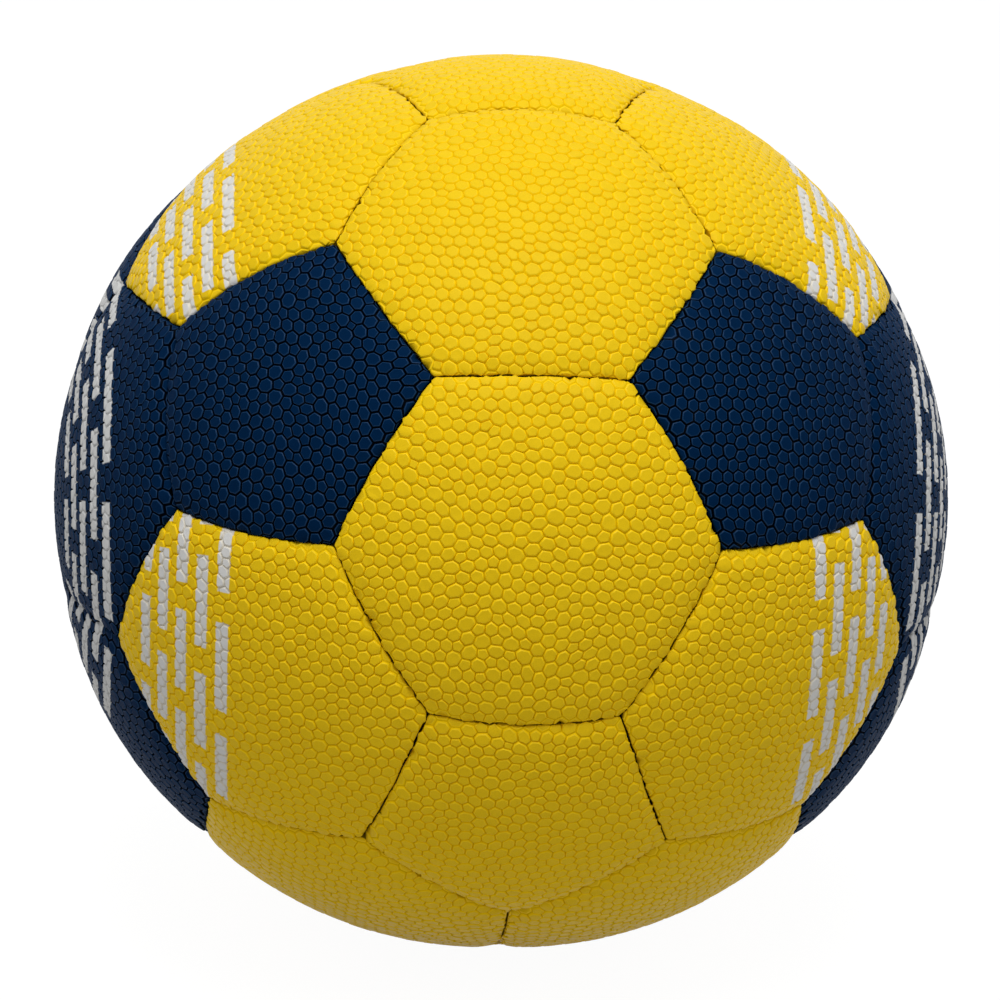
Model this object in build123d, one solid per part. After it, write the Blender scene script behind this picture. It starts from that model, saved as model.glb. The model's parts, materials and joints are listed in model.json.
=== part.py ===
"""A stitched handball: thirty-two cover panels over foam pads, cloth linings and an air bladder.

Millimetres. The origin is the ball's centre. +Z runs through the middle of the top pentagon, -Y is the
front, and the plane x = 0 mirrors the panels. Twenty hexagons and twelve pentagons meet along ninety equal
seams. Every panel is a crowned skin whose edge rolls over into an inward flange, and each pair of flanges
is sewn together by a row of saddle stitches.
"""

import os
from itertools import combinations
from math import asin, atan, cos, degrees, floor, pi, sin, sqrt, tan

from build123d import *

# Ball
ball_circumference = 590.0
crown_rise = 0.9

# Cover panels
skin_thickness = 1.3
edge_roll_radius = 0.6
panel_corner_radius = 1.0
seam_gap = 0.12

# Layers bonded behind each panel
glue_line = 0.05
pad_edge_thickness = 2.6
layer_corner_radius = 1.0
lining_thickness = 0.9

# Saddle stitches
thread_diameter = 0.8
thread_round = 0.3
thread_clearance = 0.1
stitch_pitch = 4.0
stitch_corner_margin = 6.0

# Bladder
bladder_clearance = 0.25
bladder_wall = 0.9

# Valve
valve_neck_diameter = 8.0
valve_neck_clearance = 0.15
valve_recess = 0.5
valve_hole_rim_radius = 0.4
valve_flange_diameter = 26.0
valve_flange_thickness = 1.4
valve_bore_diameter = 5.0
core_clearance = 0.05
core_head_diameter = 7.6
core_head_thickness = 2.4
core_head_round = 0.8
needle_bore_diameter = 2.2
needle_bore_depth = 9.0
needle_lead_in = 0.7

# Panels lying further out from the mirror plane than these shares of the ball's radius are navy
navy_hexagon_share = 0.75
navy_pentagon_share = 0.25

# Cutters run past what they cut by this much
overrun = 2.0

# Radii from the ball's centre, from the crowns inwards
ball_radius = ball_circumference / (2 * pi)
edge_radius = ball_radius - crown_rise
pad_inner_radius = edge_radius - skin_thickness - glue_line - pad_edge_thickness
lining_outer_radius = pad_inner_radius - glue_line
flange_tip_radius = lining_outer_radius - lining_thickness
bladder_radius = flange_tip_radius - bladder_clearance
bladder_inner_radius = bladder_radius - bladder_wall
valve_flange_radius = bladder_inner_radius - glue_line
valve_inner_radius = valve_flange_radius - valve_flange_thickness

# Offsets from the plane of a seam into a panel
flange_face = seam_gap / 2
flange_back = flange_face + skin_thickness
thread_line = flange_back + thread_clearance + thread_diameter / 2
layer_edge = thread_line + thread_diameter / 2 + thread_clearance

# The stitches run halfway between the rolled edge and the tip of the flange
stitch_radius = (edge_radius - edge_roll_radius + flange_tip_radius) / 2

# Angles seen from the ball's centre: between neighbouring pentagons, and half a seam
pentagon_spacing = atan(2)
seam_half_angle = asin(2 / sqrt(58 + 18 * sqrt(5)))

stitch_run = 2 * (stitch_radius * seam_half_angle - stitch_corner_margin)
stitch_count = floor(stitch_run / stitch_pitch) + 1
stitch_step = stitch_pitch / stitch_radius
stitch_angles = [(place - (stitch_count - 1) / 2) * stitch_step for place in range(stitch_count)]


def ring_of_five(polar, first_azimuth):
    """Five directions, all at one angle from +Z."""
    azimuths = [first_azimuth + turn * 2 * pi / 5 for turn in range(5)]
    return [Vector(sin(polar) * cos(a), sin(polar) * sin(a), cos(polar)) for a in azimuths]


def near(a, b, spacing=pentagon_spacing):
    """Whether two directions lie no further apart than two neighbouring pentagons do."""
    return a.dot(b) > cos(spacing * 3 / 2)


def seam_angle(sides):
    """The angle from a panel's axis to the middle of its seam."""
    return asin(tan(seam_half_angle) / tan(pi / sides))


def seam_azimuth(sides, seam):
    """Where a seam lies around a panel: hexagons have a seam on local +X, pentagons a corner."""
    first = 0 if sides == 6 else pi / sides
    return first + seam * 2 * pi / sides


def seam_plane(sides, seam):
    """A panel's seam: local X runs along it, Y points into the panel and Z out of the ball."""
    tilt = seam_angle(sides)
    around = seam_azimuth(sides, seam)
    along = (-sin(around), cos(around), 0)
    outward = (sin(tilt) * cos(around), sin(tilt) * sin(around), cos(tilt))
    return Plane(origin=(0, 0, 0), x_dir=along, z_dir=outward)


def ball(radius, rise=0):
    """A sphere about a point on the panel's axis, with its poles turned away from that axis."""
    return Pos(0, 0, rise) * Rot(0, 90, 0) * Sphere(radius)


def crown(sides, depth):
    """The sphere of a panel's crowned face, or one that lies a depth below it.

    The crown touches the ball's radius at the panel's middle and the edge radius at its corners.
    """
    corner = asin(sin(seam_half_angle) / sin(pi / sides))
    drop = ball_radius - edge_radius * cos(corner)
    rise = (ball_radius**2 - edge_radius**2) / (2 * drop)
    return ball(ball_radius - rise - depth, rise)


def layer(sides, offset, corner_radius, outside, inside):
    """One layer of a panel: between two spheres, and inside the seam planes moved in by an offset."""
    body = outside - inside
    for seam in range(sides):
        inward = seam_plane(sides, seam).y_dir
        body = split(body, bisect_by=Plane(origin=inward * offset, z_dir=inward), keep=Keep.TOP)
    if corner_radius <= 0:
        return body
    return fillet(body.edges().filter_by(GeomType.LINE), corner_radius)


def rolled(body, radius):
    """A layer with its outer edge rounded over."""
    if radius <= 0:
        return body
    return fillet(body.faces().sort_by(Axis.Z)[-1].edges(), radius)


def stitch_bar(angle, diameter, length, middle):
    """A cylinder through a seam at one stitch, in the seam's own plane."""
    place = Pos(stitch_radius * sin(angle), middle, stitch_radius * cos(angle))
    return place * Rot(90, 0, 0) * Cylinder(diameter / 2, length)


def cover_panel(sides):
    """A cover panel about +Z: a crowned skin, a rolled edge and a flange with stitch holes."""
    outside = layer(sides, flange_face, panel_corner_radius, crown(sides, 0), ball(flange_tip_radius))
    hollow = layer(
        sides,
        flange_back,
        panel_corner_radius - skin_thickness,
        crown(sides, skin_thickness),
        ball(flange_tip_radius - overrun),
    )
    skin = rolled(outside, edge_roll_radius) - rolled(hollow, edge_roll_radius - skin_thickness)
    hole = thread_diameter + 2 * thread_clearance
    middle = (flange_face + flange_back) / 2
    holes = [
        Location(seam_plane(sides, seam)) * stitch_bar(angle, hole, 2 * skin_thickness, middle)
        for seam in range(sides)
        for angle in stitch_angles
    ]
    return skin - holes


def foam_pad(sides):
    """A pad behind a panel, flat against the lining and crowned like the skin in front of it."""
    front_face = crown(sides, skin_thickness + glue_line)
    pad = layer(sides, layer_edge, layer_corner_radius, front_face, ball(pad_inner_radius))
    return rolled(pad, edge_roll_radius - skin_thickness)


def cloth_lining(sides):
    """A sheet of laminated cloth behind a pad."""
    return layer(sides, layer_edge, layer_corner_radius, ball(lining_outer_radius), ball(flange_tip_radius))


def seam_stitching():
    """One seam's thread: a run along each flange, flat where it lies on it, joined through the holes."""
    end = stitch_angles[-1] + thread_diameter / stitch_radius
    start = Plane(
        origin=(-stitch_radius * sin(end), thread_line, stitch_radius * cos(end)),
        x_dir=(0, 1, 0),
        z_dir=(cos(end), 0, sin(end)),
    )
    section = Rectangle(thread_diameter, thread_diameter)
    section = fillet(section.vertices().group_by(Axis.X)[-1], thread_round)
    run = revolve(start * section, Axis.Y, degrees(2 * end))
    bars = [stitch_bar(angle, thread_diameter, 2 * thread_line, 0) for angle in stitch_angles]
    return run + [mirror(run, Plane.XZ), *bars]


def bore(diameter, low, high):
    """A cylinder on the valve's axis between two heights."""
    return Pos(0, 0, (low + high) / 2) * Cylinder(diameter / 2, high - low)


valve_top = ball_radius - valve_recess
valve_hole = bore(valve_neck_diameter + 2 * valve_neck_clearance, 0, ball_radius + overrun)


def valve_panel(panel):
    """A hexagon panel with a round-edged hole for the valve's neck."""
    pierced = panel - valve_hole
    rim = pierced.edges().filter_by(GeomType.CIRCLE).sort_by(Axis.Z)[-1]
    return fillet(rim, valve_hole_rim_radius)


def bladder():
    """The hollow rubber sphere about the valve's axis, pierced for the valve's neck."""
    return ball(bladder_radius) - ball(bladder_inner_radius) - valve_hole


def valve_housing():
    """The rubber moulding of the valve: a dished flange inside the bladder and a bored neck."""
    flange = bore(valve_flange_diameter, 0, valve_top) & ball(valve_flange_radius)
    neck = bore(valve_neck_diameter, 0, valve_top)
    return flange + neck - ball(valve_inner_radius) - bore(valve_bore_diameter, 0, ball_radius)


def valve_core():
    """The soft plug in the housing: a shank, a head that holds it from inside, and a needle bore."""
    seat = sqrt(valve_inner_radius**2 - (core_head_diameter / 2) ** 2)
    head_top = seat - core_clearance
    head_base = head_top - core_head_thickness
    head = bore(core_head_diameter, head_base, head_top)
    head = fillet(head.edges().filter_by(GeomType.CIRCLE).sort_by(Axis.Z)[0], core_head_round)
    shank = bore(valve_bore_diameter - 2 * core_clearance, (head_base + head_top) / 2, valve_top)
    needle = bore(needle_bore_diameter, valve_top - needle_bore_depth, ball_radius)
    mouth_radius = needle_bore_diameter / 2 + needle_lead_in
    mouth = Cone(needle_bore_diameter / 2, mouth_radius, needle_lead_in)
    return head + shank - needle - Pos(0, 0, valve_top - needle_lead_in / 2) * mouth


def facing(direction, towards):
    """Where a piece made about +Z goes: its axis along a direction, its local X towards another one."""
    across = towards - direction * towards.dot(direction)
    return Location(Plane(origin=(0, 0, 0), x_dir=across, z_dir=direction))


def save(node, *solids):
    """Write the solids of one node to its own file."""
    export_step(Compound(list(solids)), f"parts/{node}.step")


front = -pi / 2
pentagons = [
    Vector(0, 0, 1),
    *ring_of_five(pentagon_spacing, front + pi / 5),
    *ring_of_five(pi - pentagon_spacing, front),
    Vector(0, 0, -1),
]
pentagon_places = [facing(p, next(q for q in pentagons if q is not p and near(p, q))) for p in pentagons]

triples = [t for t in combinations(pentagons, 3) if all(near(a, b) for a, b in combinations(t, 2))]
hexagons = [(a + b + c).normalized() for a, b, c in triples]
hexagon_places = [facing(h, triple[0]) for h, triple in zip(hexagons, triples)]
valve_place = max(range(len(hexagons)), key=lambda place: hexagons[place].Y)

seams = []
for place in hexagon_places:
    for seam in range(6):
        seam_place = place * Location(seam_plane(6, seam))
        middle = (seam_place * Pos(0, 0, ball_radius)).position
        if all((middle - other).length > edge_roll_radius for other, _ in seams):
            seams.append((middle, seam_place))

os.makedirs("parts", exist_ok=True)

hexagon_panel = cover_panel(6)
pentagon_panel = cover_panel(5)
number = {}
for kind, directions, places, navy_share in (
    ("hexagon", hexagons, hexagon_places, navy_hexagon_share),
    ("pentagon", pentagons, pentagon_places, navy_pentagon_share),
):
    for index, (direction, place) in enumerate(zip(directions, places)):
        panel = hexagon_panel if kind == "hexagon" else pentagon_panel
        if kind == "hexagon" and index == valve_place:
            panel = valve_panel(panel)
        colour = "navy" if abs(direction.X) > navy_share else "yellow"
        name = f"{colour}_{kind}_panel"
        number[name] = number.get(name, 0) + 1
        save(f"{name}_{number[name]:02d}", place * panel)

for name, make in (("foam_pads", foam_pad), ("cloth_linings", cloth_lining)):
    hexagon_piece = make(6)
    pentagon_piece = make(5)
    pierced = hexagon_piece - valve_hole
    pieces = [pierced if index == valve_place else hexagon_piece for index in range(len(hexagons))]
    save(f"hexagon_{name}", *[place * piece for place, piece in zip(hexagon_places, pieces)])
    save(f"pentagon_{name}", *[place * pentagon_piece for place in pentagon_places])

thread = seam_stitching()
save("seam_stitching", *[place * thread for _, place in seams])

valve_axis = hexagon_places[valve_place]
save("bladder", valve_axis * bladder())
save("valve_housing", valve_axis * valve_housing())
save("valve_core", valve_axis * valve_core())
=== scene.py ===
"""Looks for a stitched handball: pebbled cover panels, inner layers, valve, studio and camera.

Metres, in the part's own frame: the origin is the ball's centre, +Z runs through the top pentagon, -Y is
the front and the plane x = 0 mirrors the panels.
"""

import json
import logging
from dataclasses import dataclass, field, replace
from enum import Enum
from itertools import combinations
from math import asin, atan, cos, pi, radians, sin, sqrt, tan
from typing import Any, Sequence, Union

import bmesh
import bpy
import numpy as np
from mathutils import Matrix, Vector
from mathutils.geometry import delaunay_2d_cdt


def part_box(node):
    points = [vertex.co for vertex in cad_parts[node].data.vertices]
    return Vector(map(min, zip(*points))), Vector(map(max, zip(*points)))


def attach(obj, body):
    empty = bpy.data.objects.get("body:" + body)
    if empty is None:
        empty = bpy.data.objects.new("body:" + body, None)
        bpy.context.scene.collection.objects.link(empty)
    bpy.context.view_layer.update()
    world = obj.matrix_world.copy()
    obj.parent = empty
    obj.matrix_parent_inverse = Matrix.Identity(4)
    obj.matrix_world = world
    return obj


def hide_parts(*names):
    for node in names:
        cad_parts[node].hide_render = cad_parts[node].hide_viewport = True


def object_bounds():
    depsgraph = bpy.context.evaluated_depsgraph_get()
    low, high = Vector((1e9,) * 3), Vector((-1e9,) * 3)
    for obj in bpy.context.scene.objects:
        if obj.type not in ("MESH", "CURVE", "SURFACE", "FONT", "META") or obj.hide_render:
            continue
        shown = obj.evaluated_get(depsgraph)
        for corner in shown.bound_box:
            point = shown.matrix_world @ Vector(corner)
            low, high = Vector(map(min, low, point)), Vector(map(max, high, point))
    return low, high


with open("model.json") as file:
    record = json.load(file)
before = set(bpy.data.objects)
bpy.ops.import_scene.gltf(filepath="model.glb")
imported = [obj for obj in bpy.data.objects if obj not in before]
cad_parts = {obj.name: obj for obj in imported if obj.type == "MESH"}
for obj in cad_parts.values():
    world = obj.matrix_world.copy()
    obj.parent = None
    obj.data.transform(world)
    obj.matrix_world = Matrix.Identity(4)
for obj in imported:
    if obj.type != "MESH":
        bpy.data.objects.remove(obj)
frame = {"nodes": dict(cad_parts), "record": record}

CAD_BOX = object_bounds()
LOG = logging.getLogger("handball")
Number = Union["Value", float]
Colour = tuple[float, float, float]

# Where a step starts and ends.
Span = tuple[float, float]

# A noise's grain in metres, its number of finer layers and their strength.
Mottle = tuple[float, float, float]


class PanelKind(Enum):
    """The two outlines of cover panel, by their number of sides."""

    HEXAGON = 6
    PENTAGON = 5


class Cover(Enum):
    """The two colours of cover, each with the material slot that it takes its finish from."""

    YELLOW = "yellow_cover"
    NAVY = "navy_cover"


class PanelGroup(Enum):
    """Where a panel sits on the ball, which sets how its seams bow."""

    MIDDLE_HEXAGON = 1
    SIDE_HEXAGON = 2
    NAVY_HEXAGON = 3
    NAVY_PENTAGON = 4
    YELLOW_PENTAGON = 5


# Waves that all seams sway by, and a direction that tells the two sides of a seam apart.
SWAYS = (np.array((5.1, 3.7, 6.3)), np.array((-7.9, 8.3, 9.1)))
SWAY_PHASE = 1.0
SIDEWAYS = np.array((0.31, 0.57, 0.76))

# How far the first panel reaches past the middle of its seam with the second, in metres.
SEAM_BOWS = {
    (PanelGroup.MIDDLE_HEXAGON, PanelGroup.YELLOW_PENTAGON): 0.0012,
    (PanelGroup.MIDDLE_HEXAGON, PanelGroup.SIDE_HEXAGON): 0.0004,
    (PanelGroup.MIDDLE_HEXAGON, PanelGroup.NAVY_PENTAGON): 0.0006,
    (PanelGroup.NAVY_PENTAGON, PanelGroup.SIDE_HEXAGON): 0.0011,
    (PanelGroup.NAVY_PENTAGON, PanelGroup.NAVY_HEXAGON): 0.0011,
    (PanelGroup.SIDE_HEXAGON, PanelGroup.YELLOW_PENTAGON): 0.0005,
    (PanelGroup.SIDE_HEXAGON, PanelGroup.NAVY_HEXAGON): 0.0004,
}


class Value:
    """A number that varies over a surface: one output socket, with Python's operators on it."""

    def __init__(self, shader: "Shader", socket: bpy.types.NodeSocket) -> None:
        """Wrap a socket.

        Args:
            shader: the material that the socket belongs to.
            socket: an output socket that carries one number.
        """
        self.shader = shader
        self.socket = socket

    def math(self, operation: str, *others: Number, clamp: bool = False) -> "Value":
        """Add a Math node that starts from this value.

        Args:
            operation: the Math node's operation.
            others: its second and third operands.
            clamp: whether the result is kept between 0 and 1.

        Returns:
            The result.
        """
        return self.shader.maths(operation, self, *others, clamp=clamp)

    def __add__(self, other: Number) -> "Value":
        """The sum."""
        return self.math("ADD", other)

    __radd__ = __add__

    def __sub__(self, other: Number) -> "Value":
        """The difference."""
        return self.math("SUBTRACT", other)

    def __rsub__(self, other: Number) -> "Value":
        """The difference from a number."""
        return self.shader.maths("SUBTRACT", other, self)

    def __mul__(self, other: Number) -> "Value":
        """The product."""
        return self.math("MULTIPLY", other)

    __rmul__ = __mul__

    def __truediv__(self, other: Number) -> "Value":
        """The quotient."""
        return self.math("DIVIDE", other)

    def __pow__(self, other: Number) -> "Value":
        """The power."""
        return self.math("POWER", other)

    def __abs__(self) -> "Value":
        """The size without the sign."""
        return self.math("ABSOLUTE")

    def clamped(self) -> "Value":
        """The value kept between 0 and 1."""
        return self.math("ADD", 0.0, clamp=True)

    def rise(self, low: float, high: float) -> "Value":
        """A smooth step from 0 at one level to 1 at another.

        Args:
            low: where the step starts.
            high: where it ends, which may be below the start.

        Returns:
            The step.
        """
        settings = {"interpolation_type": "SMOOTHSTEP", "clamp": True}
        sockets = {"Value": self, "From Min": low, "From Max": high}
        return Value(self.shader, self.shader.node("ShaderNodeMapRange", settings, sockets).outputs["Result"])


class Shader:
    """One material with a Principled shader, and the few ways in which its nodes are made."""

    def __init__(self, name: str) -> None:
        """Start a material.

        Args:
            name: its name.
        """
        self.material = bpy.data.materials.new(name)
        self.material.use_nodes = True
        self.nodes = self.material.node_tree.nodes
        self.links = self.material.node_tree.links
        self.surface = next(n for n in self.nodes if n.type == "BSDF_PRINCIPLED")

    def node(self, kind: str, settings: dict[str, Any], sockets: dict[Any, Any]) -> bpy.types.Node:
        """Add a node.

        Args:
            kind: the node's type.
            settings: its properties, set first.
            sockets: numbers, colours or links for its inputs, by name or place.

        Returns:
            The node.
        """
        made = self.nodes.new(kind)
        for name, setting in settings.items():
            setattr(made, name, setting)
        for name, given in sockets.items():
            self.feed(made.inputs[name], given)
        return made

    def feed(self, target: bpy.types.NodeSocket, given: Any) -> None:
        """Set an input socket, or link something to it.

        Args:
            target: the input socket.
            given: a value, a socket, a number or a colour.
        """
        if isinstance(given, Value):
            self.links.new(given.socket, target)
        elif isinstance(given, bpy.types.NodeSocket):
            self.links.new(given, target)
        elif isinstance(given, tuple) and len(given) == 3 and len(target.default_value) == 4:
            target.default_value = (*given, 1.0)
        else:
            target.default_value = given

    def maths(self, operation: str, *operands: Number, clamp: bool = False) -> Value:
        """Add a Math node.

        Args:
            operation: what it does.
            operands: values or numbers.
            clamp: whether the result is kept between 0 and 1.

        Returns:
            The result.
        """
        settings = {"operation": operation, "use_clamp": clamp}
        return Value(self, self.node("ShaderNodeMath", settings, dict(enumerate(operands))).outputs[0])

    def attribute(self, name: str) -> Value:
        """A number stored on the mesh."""
        return Value(self, self.node("ShaderNodeAttribute", {"attribute_name": name}, {}).outputs["Fac"])

    def place(self) -> bpy.types.NodeSocket:
        """The place on the object, in metres."""
        return self.node("ShaderNodeTexCoord", {}, {}).outputs["Object"]

    def axes(self) -> tuple[Value, Value, Value]:
        """The place on the object, as three numbers."""
        split = self.node("ShaderNodeSeparateXYZ", {}, {"Vector": self.place()})
        return Value(self, split.outputs[0]), Value(self, split.outputs[1]), Value(self, split.outputs[2])

    def noise(self, grain: float, detail: float = 2.0, roughness: float = 0.5) -> Value:
        """Soft random blotches.

        Args:
            grain: about how far apart they are, in metres.
            detail: how many finer layers they have.
            roughness: how strong those layers are.

        Returns:
            A number from 0 to 1.
        """
        sockets = {"Vector": self.place(), "Scale": 1.0 / grain, "Detail": detail, "Roughness": roughness}
        return Value(self, self.node("ShaderNodeTexNoise", {}, sockets).outputs[0])

    def mix(self, share: Number, first: Any, second: Any) -> bpy.types.NodeSocket:
        """Mix two colours.

        Args:
            share: how much of the second one there is.
            first: a colour or a link.
            second: a colour or a link.

        Returns:
            The mixed colour.
        """
        settings = {"data_type": "RGBA", "clamp_factor": True}
        return self.node("ShaderNodeMix", settings, {0: share, 6: first, 7: second}).outputs[2]

    def bump(self, height: Value, depth: float, strength: float, normal: Any = None) -> bpy.types.NodeSocket:
        """Fine relief.

        Args:
            height: from 0 to 1.
            depth: how much relief that is, in metres.
            strength: how strongly it shows.
            normal: the normal of coarser relief that it lies on.

        Returns:
            The normal.
        """
        sockets: dict[str, Any] = {"Height": height, "Distance": depth, "Strength": strength}
        if normal is not None:
            sockets["Normal"] = normal
        return self.node("ShaderNodeBump", {}, sockets).outputs["Normal"]

    def finish(self, **sockets: Any) -> None:
        """Feed the Principled shader.

        Args:
            sockets: its inputs, with underscores for the spaces in their names.
        """
        for name, given in sockets.items():
            self.feed(self.surface.inputs[name.replace("_", " ")], given)


class Finish:
    """What a surface is made of."""

    def material(self, name: str) -> bpy.types.Material:
        """Make the finish's material.

        Args:
            name: its name.

        Returns:
            The material.
        """
        shader = Shader(name)
        self.paint(shader)
        return shader.material

    def paint(self, shader: Shader) -> None:
        """Feed a material's shader with the finish."""
        raise NotImplementedError

    @staticmethod
    def shaded(colour: Colour, share: float) -> Colour:
        """A colour with a share of its brightness."""
        return (share * colour[0], share * colour[1], share * colour[2])


@dataclass(frozen=True)
class DashPrint:
    """A plain print of staggered white dashes on rings around the ball's left-right axis."""

    start: float
    rings: int
    ring_pitch: float
    ring_share: float
    dashes: int
    dash_share: float
    edge_grain: float = 0.0013
    edge_wander: float = 0.004
    ring_blur: float = 0.05
    dash_blur: float = 0.01
    stagger: float = 0.5

    def mask(self, shader: Shader) -> Value:
        """Where the dashes are.

        Args:
            shader: the material that they are printed on.

        Returns:
            A mask from 0 to 1.
        """
        x, y, z = shader.axes()
        length = (x * x + y * y + z * z) ** 0.5
        wander = (shader.noise(self.edge_grain) - 0.5) * self.edge_wander
        ring = ((abs(x) / length).math("ARCCOSINE") - self.start + wander) / self.ring_pitch
        column = ring.math("FLOOR")
        across = abs(ring.math("FRACT") - 0.5) * 2.0
        turn = z.math("ARCTAN2", y) * (self.dashes / (2 * pi)) + column * self.stagger + wander * 2.0
        along = abs(turn.math("FRACT") - 0.5) * 2.0
        bar = across.rise(self.ring_share + self.ring_blur, self.ring_share - self.ring_blur)
        dash = along.rise(self.dash_share + self.dash_blur, self.dash_share - self.dash_blur)
        inside = ring.math("GREATER_THAN", 0.0) * ring.math("LESS_THAN", float(self.rings))
        return bar * dash * inside


@dataclass(frozen=True)
class CoverFinish(Finish):
    """Pebbled cover leather: matte tops, grooves with painted shade, pebble walls and lips with painted
    light, painted shade along the seams, and a print where there is one.

    Grains and depths are in metres. A pebble's height runs from 0 in its groove to 1 on its top.
    """

    top: Colour
    # The wall colour paints light on the pebbles' sides: a brighter, more saturated yellow than the tops, and
    # a darker navy than the tops.
    wall: Colour
    # The groove colour is painted shade at the bottom of the grooves.
    groove: Colour
    # Painted highlight: the lip colour lightens each pebble's upper edge, on every side alike.
    lip: Colour
    lip_share: float
    scuff: Colour
    roughness: float
    gloss: float
    sheen: Colour
    glint: float
    gap_rise: Span
    design: Union[DashPrint, None] = None
    ink: Colour = (0.73, 0.73, 0.72)
    ink_share: float = 0.86
    ink_on_tops: float = 0.12
    speck: Mottle = (0.00022, 3.0, 0.65)
    speck_rise: Span = (0.35, 0.7)
    speck_share: float = 0.3
    speck_depth: float = 0.00004
    speck_strength: float = 0.6
    speck_roughness: float = 0.12
    edge: Mottle = (0.0006, 3.0, 0.6)
    edge_wander: float = 0.12
    top_rise: Span = (0.82, 0.99)
    cloud_grain: float = 0.03
    cloud_share: float = 0.3
    worn_shade: float = 0.75
    # Where the painted highlight on the lips starts and ends, by pebble height.
    lip_start: Span = (0.6, 0.8)
    lip_end: Span = (1.0, 0.96)
    scuffs: Mottle = (0.004, 4.0, 0.7)
    scuff_rise: Span = (0.52, 0.68)
    scuff_share: float = 0.1
    # Painted shade at the bottom of each seam, stronger at the stitches, in a near-black groove colour.
    seam_shade_rise: Span = (0.88, 1.0)
    seam_shade_share: float = 0.75
    seam_shade_at_stitches: float = 0.2
    seam_shade_brightness: float = 0.08
    lump: tuple[float, float] = (0.0035, 1.0)
    lump_depth: float = 0.0004
    lump_strength: float = 0.7
    groove_roughness: float = 0.18
    glint_roughness: float = 0.35

    def paint(self, shader: Shader) -> None:
        """Feed a material's shader with the leather."""
        height = shader.attribute("height")
        fine = shader.noise(*self.speck)
        level = height + (shader.noise(*self.edge) - 0.5) * self.edge_wander
        top = level.rise(*self.top_rise)
        lip = height.rise(*self.lip_start) * height.rise(*self.lip_end)
        # Painted shade and light: the groove colour darkens the bottom of each groove, and the wall colour
        # paints the pebble's sides.
        colour = shader.mix(height.rise(*self.gap_rise), self.groove, self.wall)
        colour = shader.mix(top, colour, self.top)
        cloudy = shader.noise(self.cloud_grain) * 0.5 + shader.attribute("tone") * 0.5
        speckled = fine.rise(*self.speck_rise) * self.speck_share + (cloudy - 0.5) * self.cloud_share
        colour = shader.mix(speckled.clamped() * top, colour, self.shaded(self.top, self.worn_shade))
        # Painted highlight along the lips of the pebbles.
        colour = shader.mix(lip * self.lip_share, colour, self.lip)
        scuffed = shader.noise(*self.scuffs).rise(*self.scuff_rise) * (1.0 - top) * self.scuff_share
        colour = shader.mix(scuffed, colour, self.scuff)
        if self.design is not None:
            inked = self.design.mask(shader) * (top * self.ink_on_tops + self.ink_share)
            colour = shader.mix(inked, colour, self.ink)
        # Painted shade: the bottom of each seam and each stitch dent is darkened towards a near-black groove
        # colour.
        seam_shade_strength = shader.attribute("stitch") * self.seam_shade_at_stitches + self.seam_shade_share
        seam_shade = shader.attribute("seam").rise(*self.seam_shade_rise) * seam_shade_strength
        colour = shader.mix(seam_shade.clamped(), colour, self.shaded(self.groove, self.seam_shade_brightness))
        lumps = shader.bump(shader.noise(*self.lump), self.lump_depth, self.lump_strength)
        uneven = (1.0 - top) * self.groove_roughness + (fine - 0.5) * self.speck_roughness
        shader.finish(
            Base_Color=colour,
            Roughness=uneven + self.roughness,
            Normal=shader.bump(fine, self.speck_depth, self.speck_strength, lumps),
            Specular_IOR_Level=self.gloss,
            Specular_Tint=self.sheen,
            Coat_Weight=lip * self.glint,
            Coat_Roughness=self.glint_roughness,
        )


@dataclass(frozen=True)
class FoamFinish(Finish):
    """Closed-cell foam with fine cells."""

    colour: Colour
    cell: float
    cell_rise: Span = (0.1, 0.7)
    shade: float = 0.8
    roughness: float = 0.9
    relief: tuple[float, float] = (0.0002, 0.7)

    def paint(self, shader: Shader) -> None:
        """Feed a material's shader with the foam."""
        sockets = {"Vector": shader.place(), "Scale": 1.0 / self.cell, "Randomness": 1.0}
        cells = Value(shader, shader.node("ShaderNodeTexVoronoi", {}, sockets).outputs["Distance"])
        colour = shader.mix(cells.rise(*self.cell_rise), self.colour, self.shaded(self.colour, self.shade))
        shader.finish(Base_Color=colour, Roughness=self.roughness, Normal=shader.bump(cells, *self.relief))


@dataclass(frozen=True)
class ClothFinish(Finish):
    """Plain woven cloth, its threads laid out along the frame's axes."""

    colour: Colour
    pitch: float
    slub: tuple[float, float] = (0.004, 3.0)
    weave_share: float = 0.4
    slub_share: float = 0.3
    shade: float = 0.6
    roughness: float = 0.92
    relief: tuple[float, float] = (0.0001, 0.8)

    def paint(self, shader: Shader) -> None:
        """Feed a material's shader with the cloth."""
        turns = [(axis * (2 * pi / self.pitch)).math("SINE") for axis in shader.axes()]
        weave = turns[0] * turns[1] * 0.5 + turns[1] * turns[2] * 0.5 + 0.5
        worn = weave * self.weave_share + shader.noise(*self.slub) * self.slub_share
        colour = shader.mix(worn, self.colour, self.shaded(self.colour, self.shade))
        shader.finish(Base_Color=colour, Roughness=self.roughness, Normal=shader.bump(weave, *self.relief))


@dataclass(frozen=True)
class RubberFinish(Finish):
    """Moulded rubber, with a bloom of dust on it."""

    colour: Colour
    bloom: Colour
    roughness: float
    dust: Mottle = (0.006, 5.0, 0.65)
    dust_rise: Span = (0.45, 0.75)
    dust_share: float = 0.35
    dust_roughness: float = 0.2
    grain: float = 0.0003
    relief: tuple[float, float] = (0.00003, 0.5)

    def paint(self, shader: Shader) -> None:
        """Feed a material's shader with the rubber."""
        dust = shader.noise(*self.dust)
        colour = shader.mix(dust.rise(*self.dust_rise) * self.dust_share, self.colour, self.bloom)
        shader.finish(
            Base_Color=colour,
            Roughness=dust * self.dust_roughness + self.roughness,
            Normal=shader.bump(shader.noise(self.grain), *self.relief),
        )


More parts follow.
